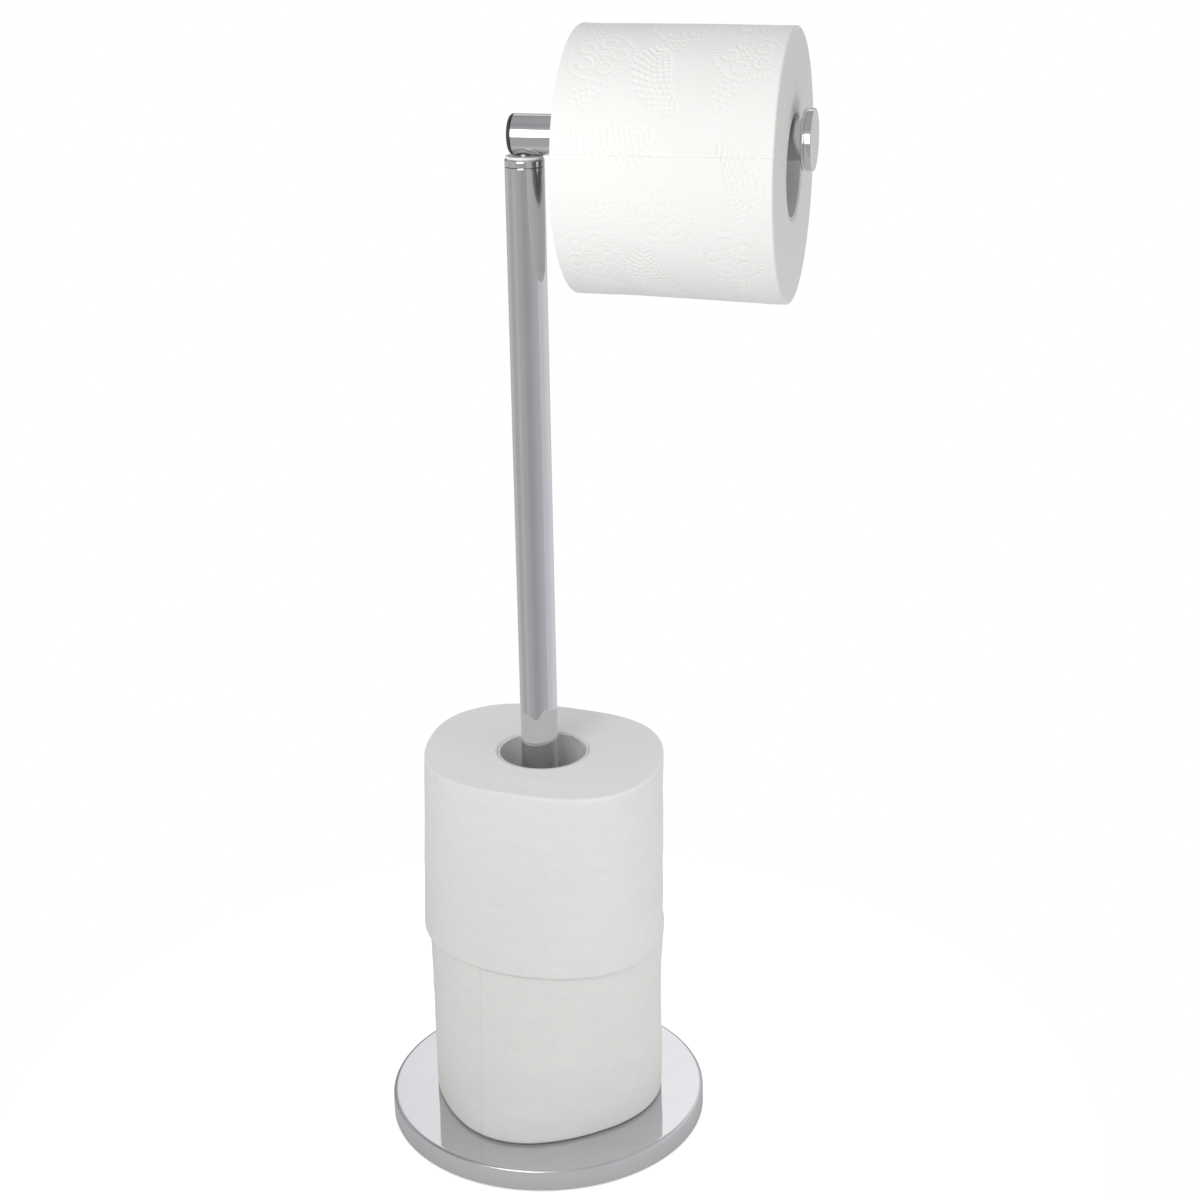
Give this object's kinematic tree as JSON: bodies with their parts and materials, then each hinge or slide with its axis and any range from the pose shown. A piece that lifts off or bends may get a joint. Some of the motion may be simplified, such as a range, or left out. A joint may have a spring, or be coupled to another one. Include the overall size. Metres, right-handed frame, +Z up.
{
  "type": "freestanding toilet paper holder",
  "caption": "Chrome stand with a weighted round foot, a tube post that stores spare rolls, and an arm that swivels, lifts off and lets its roll spin.",
  "frame": {"origin": "On the floor under the post, at the middle of the foot's soft pad.", "axes": "+Z runs up the post. +X runs along the arm, from the post to the end stop. The pictured side faces -Y."},
  "size_m": [0.2217, 0.17, 0.5767],
  "materials": {
    "chrome": "polished",
    "cast_iron": "matte",
    "foam_pad": "matte",
    "zinc_plate": "satin",
    "nylon": "satin",
    "dark_plastic": "satin",
    "cardboard": "matte",
    "tissue_paper": "matte"
  },
  "bodies": {
    "stand": {"base_shell": "chrome", "base_weight": "cast_iron", "base_pad": "foam_pad", "base_bolt": "zinc_plate", "base_lock_washer": "zinc_plate", "base_washer": "zinc_plate", "post_tube": "chrome", "post_foot_insert": "zinc_plate", "post_head": "chrome"},
    "swivel_bush": {"swivel_bush": "nylon"},
    "arm": {"arm_tube": "chrome", "arm_end_cap": "dark_plastic", "arm_spigot": "zinc_plate", "saddle_nut": "zinc_plate", "arm_front_insert": "zinc_plate", "end_stop": "chrome", "end_stop_stud": "zinc_plate"},
    "arm_roll": {"arm_roll_core": "cardboard", "arm_roll_paper": "tissue_paper"},
    "spare_roll_lower": {"spare_lower_core": "cardboard", "spare_lower_paper": "tissue_paper"},
    "spare_roll_upper": {"spare_upper_core": "cardboard", "spare_upper_paper": "tissue_paper"}
  },
  "joints": [
    {"name": "arm_swivel", "type": "hinge", "parent": "stand", "child": "swivel_bush", "pos_m": [0, 0, 0.5155], "axis": [0, 0, 1], "continuous": true},
    {"name": "arm_lift", "type": "slide", "parent": "swivel_bush", "child": "arm", "axis": [0, 0, 1], "range_m": [0, 0.045]},
    {"name": "arm_roll_spin", "type": "hinge", "parent": "arm", "child": "arm_roll", "pos_m": [0.0777, 0, 0.5134], "axis": [1, 0, 0], "continuous": true},
    {"name": "spare_lower_lift", "type": "slide", "parent": "stand", "child": "spare_roll_lower", "axis": [0, 0, 1], "range_m": [0, 0.11]},
    {"name": "spare_upper_lift", "type": "slide", "parent": "spare_roll_lower", "child": "spare_roll_upper", "axis": [0, 0, 1], "range_m": [0, 0.12]}
  ]
}
